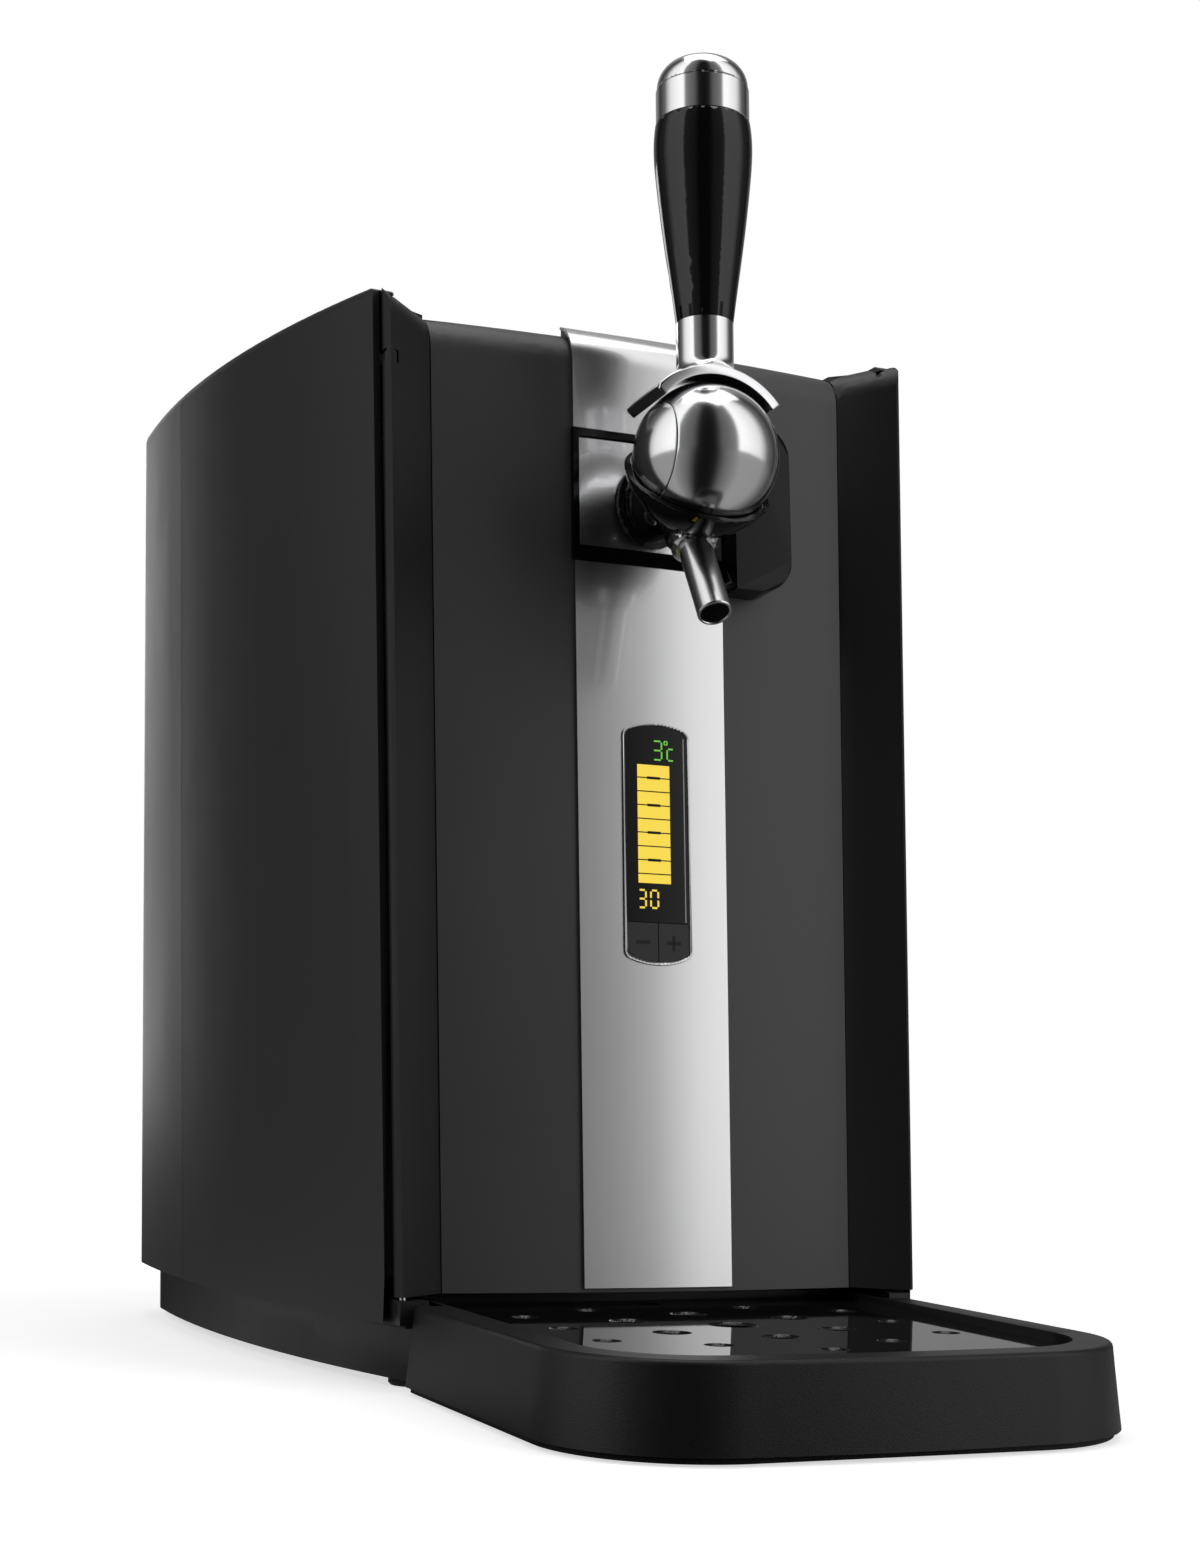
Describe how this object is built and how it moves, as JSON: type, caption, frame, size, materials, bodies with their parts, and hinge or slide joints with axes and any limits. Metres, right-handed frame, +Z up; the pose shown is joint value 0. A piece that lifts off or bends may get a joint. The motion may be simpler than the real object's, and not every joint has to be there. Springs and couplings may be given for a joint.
{
  "type": "mini keg beer dispenser",
  "caption": "Upright cooled dispenser for a small beer keg, with a leaning hinged door that carries a ball tap with a tall lever, a lit display and a sliding drip tray.",
  "frame": {"origin": "on the floor, under the middle of the closed machine's overall box", "axes": "+X to the right of someone who faces the front, -Y out of the front towards them, +Z up"},
  "size_m": [0.2828, 0.4866, 0.4782],
  "materials": {
    "charcoal": "satin",
    "black_satin": "fine satin",
    "black_gloss": "gloss",
    "polished_steel": "polished",
    "chrome": "mirror",
    "display_glass": "gloss, lit segments",
    "rubber": "matt",
    "liner_white": "satin",
    "foam": "cellular",
    "aluminium": "machined",
    "ceramic": "matt",
    "board_green": "solder mask",
    "supply_case": "brushed",
    "pin_steel": "ground"
  },
  "bodies": {
    "housing": {"base_pan": "black_satin", "rubber_feet": "rubber", "left_side_panel": "charcoal", "right_side_panel": "charcoal", "rear_cover": "charcoal", "top_cover": "charcoal", "chamber_liner": "liner_white", "foam_jacket": "foam", "cold_plate": "aluminium", "peltier_module": "ceramic", "heat_sink": "aluminium", "fan_frame": "black_satin", "air_pump": "black_satin", "power_supply": "supply_case", "control_board": "board_green", "power_inlet": "black_satin", "switch_frame": "black_satin", "lower_hinge_pin": "pin_steel", "upper_hinge_pin": "pin_steel"},
    "door": {"door_frame": "black_satin", "door_panel": "charcoal", "front_strip": "polished_steel", "window_plate": "polished_steel", "top_strip": "polished_steel", "strip_carrier": "black_satin", "tap_frame": "black_gloss", "display_bezel": "chrome", "display_board": "board_green", "display_lens": "display_glass", "door_seal": "rubber", "door_liner": "liner_white", "tap_core": "chrome", "tap_cup": "black_gloss", "tap_arm": "black_gloss", "spout_collar": "chrome", "spout": "chrome"},
    "lever": {"left_side_cap": "chrome", "right_side_cap": "chrome", "lever_axle": "pin_steel", "lever_yoke": "chrome", "lever_neck": "chrome", "handle_grip": "black_gloss", "handle_cap": "chrome", "handle_crown": "chrome"},
    "minus_key": {"minus_button": "black_gloss"},
    "plus_key": {"plus_button": "black_gloss"},
    "tray": {"drip_tray": "black_satin"},
    "plate": {"drip_plate": "black_gloss"},
    "fan": {"fan_rotor": "black_satin"},
    "rocker": {"power_rocker": "black_gloss"}
  },
  "joints": [
    {"name": "door_hinge", "type": "hinge", "parent": "housing", "child": "door", "pos_m": [-0.0954, -0.07603, 0], "axis": [0.0219, -0.0827, -0.9963], "range_deg": [0, 90]},
    {"name": "lever_pull", "type": "hinge", "parent": "door", "child": "lever", "pos_m": [0, -0.09544, 0.3264], "axis": [1, 0, 0], "range_deg": [0, 40]},
    {"name": "minus_press", "type": "slide", "parent": "door", "child": "minus_key", "axis": [0, 0.9966, -0.0827], "range_m": [0, 0.001], "stiffness_N_per_m": 400},
    {"name": "plus_press", "type": "slide", "parent": "door", "child": "plus_key", "axis": [0, 0.9966, -0.0827], "range_m": [0, 0.001], "stiffness_N_per_m": 400},
    {"name": "drip_tray_slide", "type": "slide", "parent": "housing", "child": "tray", "axis": [0, -1, 0], "range_m": [0, 0.15]},
    {"name": "drip_plate_lift", "type": "slide", "parent": "tray", "child": "plate", "axis": [0, 0, 1], "range_m": [0, 0.004]},
    {"name": "fan_spin", "type": "hinge", "parent": "housing", "child": "fan", "pos_m": [0, 0.18327, 0.19], "axis": [0, 1, 0], "continuous": true},
    {"name": "power_rock", "type": "hinge", "parent": "housing", "child": "rocker", "pos_m": [0.04, 0.22941, 0.204], "axis": [1, 0, 0], "range_deg": [-12, 0]}
  ]
}
